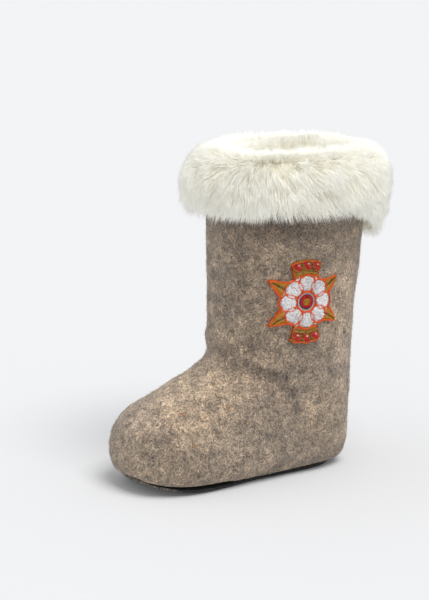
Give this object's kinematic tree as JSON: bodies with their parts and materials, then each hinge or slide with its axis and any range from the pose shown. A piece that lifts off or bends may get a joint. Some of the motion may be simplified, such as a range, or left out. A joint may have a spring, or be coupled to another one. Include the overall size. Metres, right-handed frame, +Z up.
{
  "type": "valenki felt boot",
  "caption": "Child's seamless wool felt boot with a fur cuff turned over its collar, a thin rubber outsole and a loose felt insole.",
  "frame": {"origin": "On the floor, in the outsole's flat underside, midway along the foot and on its centre line", "axes": "+Z up the shaft, the toe points along -Y, +X is the side with the embroidery: the wearer's left"},
  "size_m": [0.1329, 0.2138, 0.2332],
  "materials": {
    "felt": "coarse heathered wool felt, grey-beige",
    "rubber": "matte porous black rubber",
    "insole_felt": "pale pressed wool felt",
    "fur": "long white fur",
    "threads": "raised embroidery in glossy white, orange and red threads"
  },
  "bodies": {
    "root": {"felt_upper": "felt", "outsole": "rubber", "insole": "insole_felt", "fur_cuff": "fur", "embroidered_motif": "threads"}
  },
  "joints": []
}
